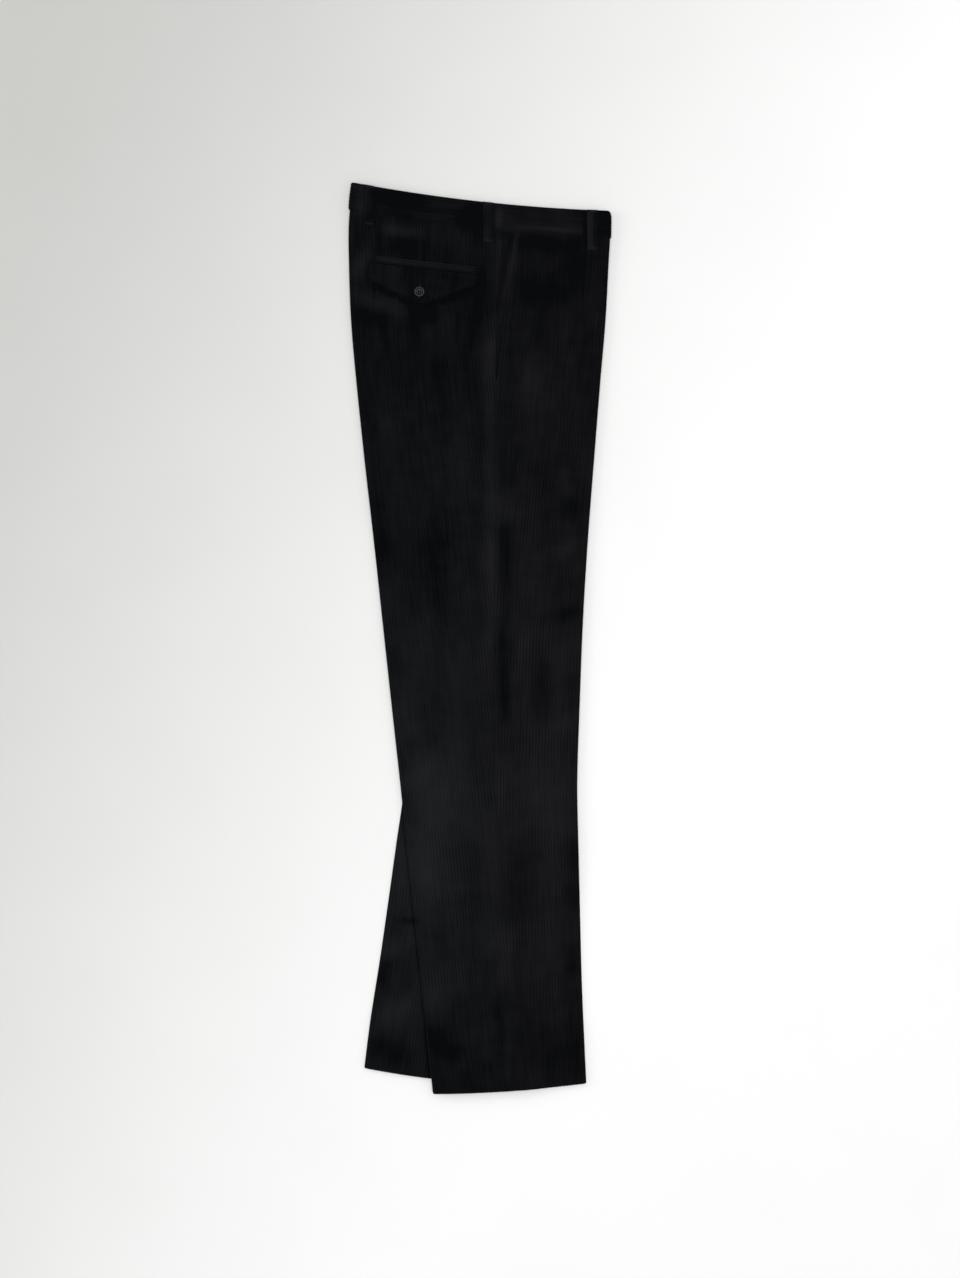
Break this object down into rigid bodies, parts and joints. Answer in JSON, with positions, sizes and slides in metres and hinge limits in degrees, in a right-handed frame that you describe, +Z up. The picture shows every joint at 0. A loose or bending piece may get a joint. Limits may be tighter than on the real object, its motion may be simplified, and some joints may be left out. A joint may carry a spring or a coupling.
{
  "type": "straight-leg corduroy trousers laid on their side",
  "caption": "Wide-wale corduroy trousers folded lengthwise and laid flat on one side, with turned-up hems, waistband and belt loops, slanted front pocket and buttoned flap pocket.",
  "frame": {"origin": "on the surface the garment lies on, under the middle of its bounding box", "axes": "+X towards the centre-front fold, +Y from the hems towards the waist, +Z up off the surface, through the folded layers"},
  "size_m": [0.3154, 1.0918, 0.0136],
  "materials": {
    "corduroy": "near-black cotton corduroy, napped wide wales, soft sheen along the pile",
    "button": "polished black horn-look button with four holes",
    "thread": "black sewing thread, slightly lustrous"
  },
  "bodies": {
    "root": {"right_back_panel": "corduroy", "right_front_panel": "corduroy", "left_back_panel": "corduroy", "left_front_panel": "corduroy", "waistband_right": "corduroy", "waistband_left": "corduroy", "belt_loop_right_back": "corduroy", "belt_loop_right_side": "corduroy", "belt_loop_right_front": "corduroy", "belt_loop_left_back": "corduroy", "belt_loop_left_side": "corduroy", "belt_loop_left_front": "corduroy", "pocket_facing": "corduroy", "pocket_welt": "corduroy", "pocket_flap": "corduroy", "pocket_button": "button"}
  },
  "joints": []
}
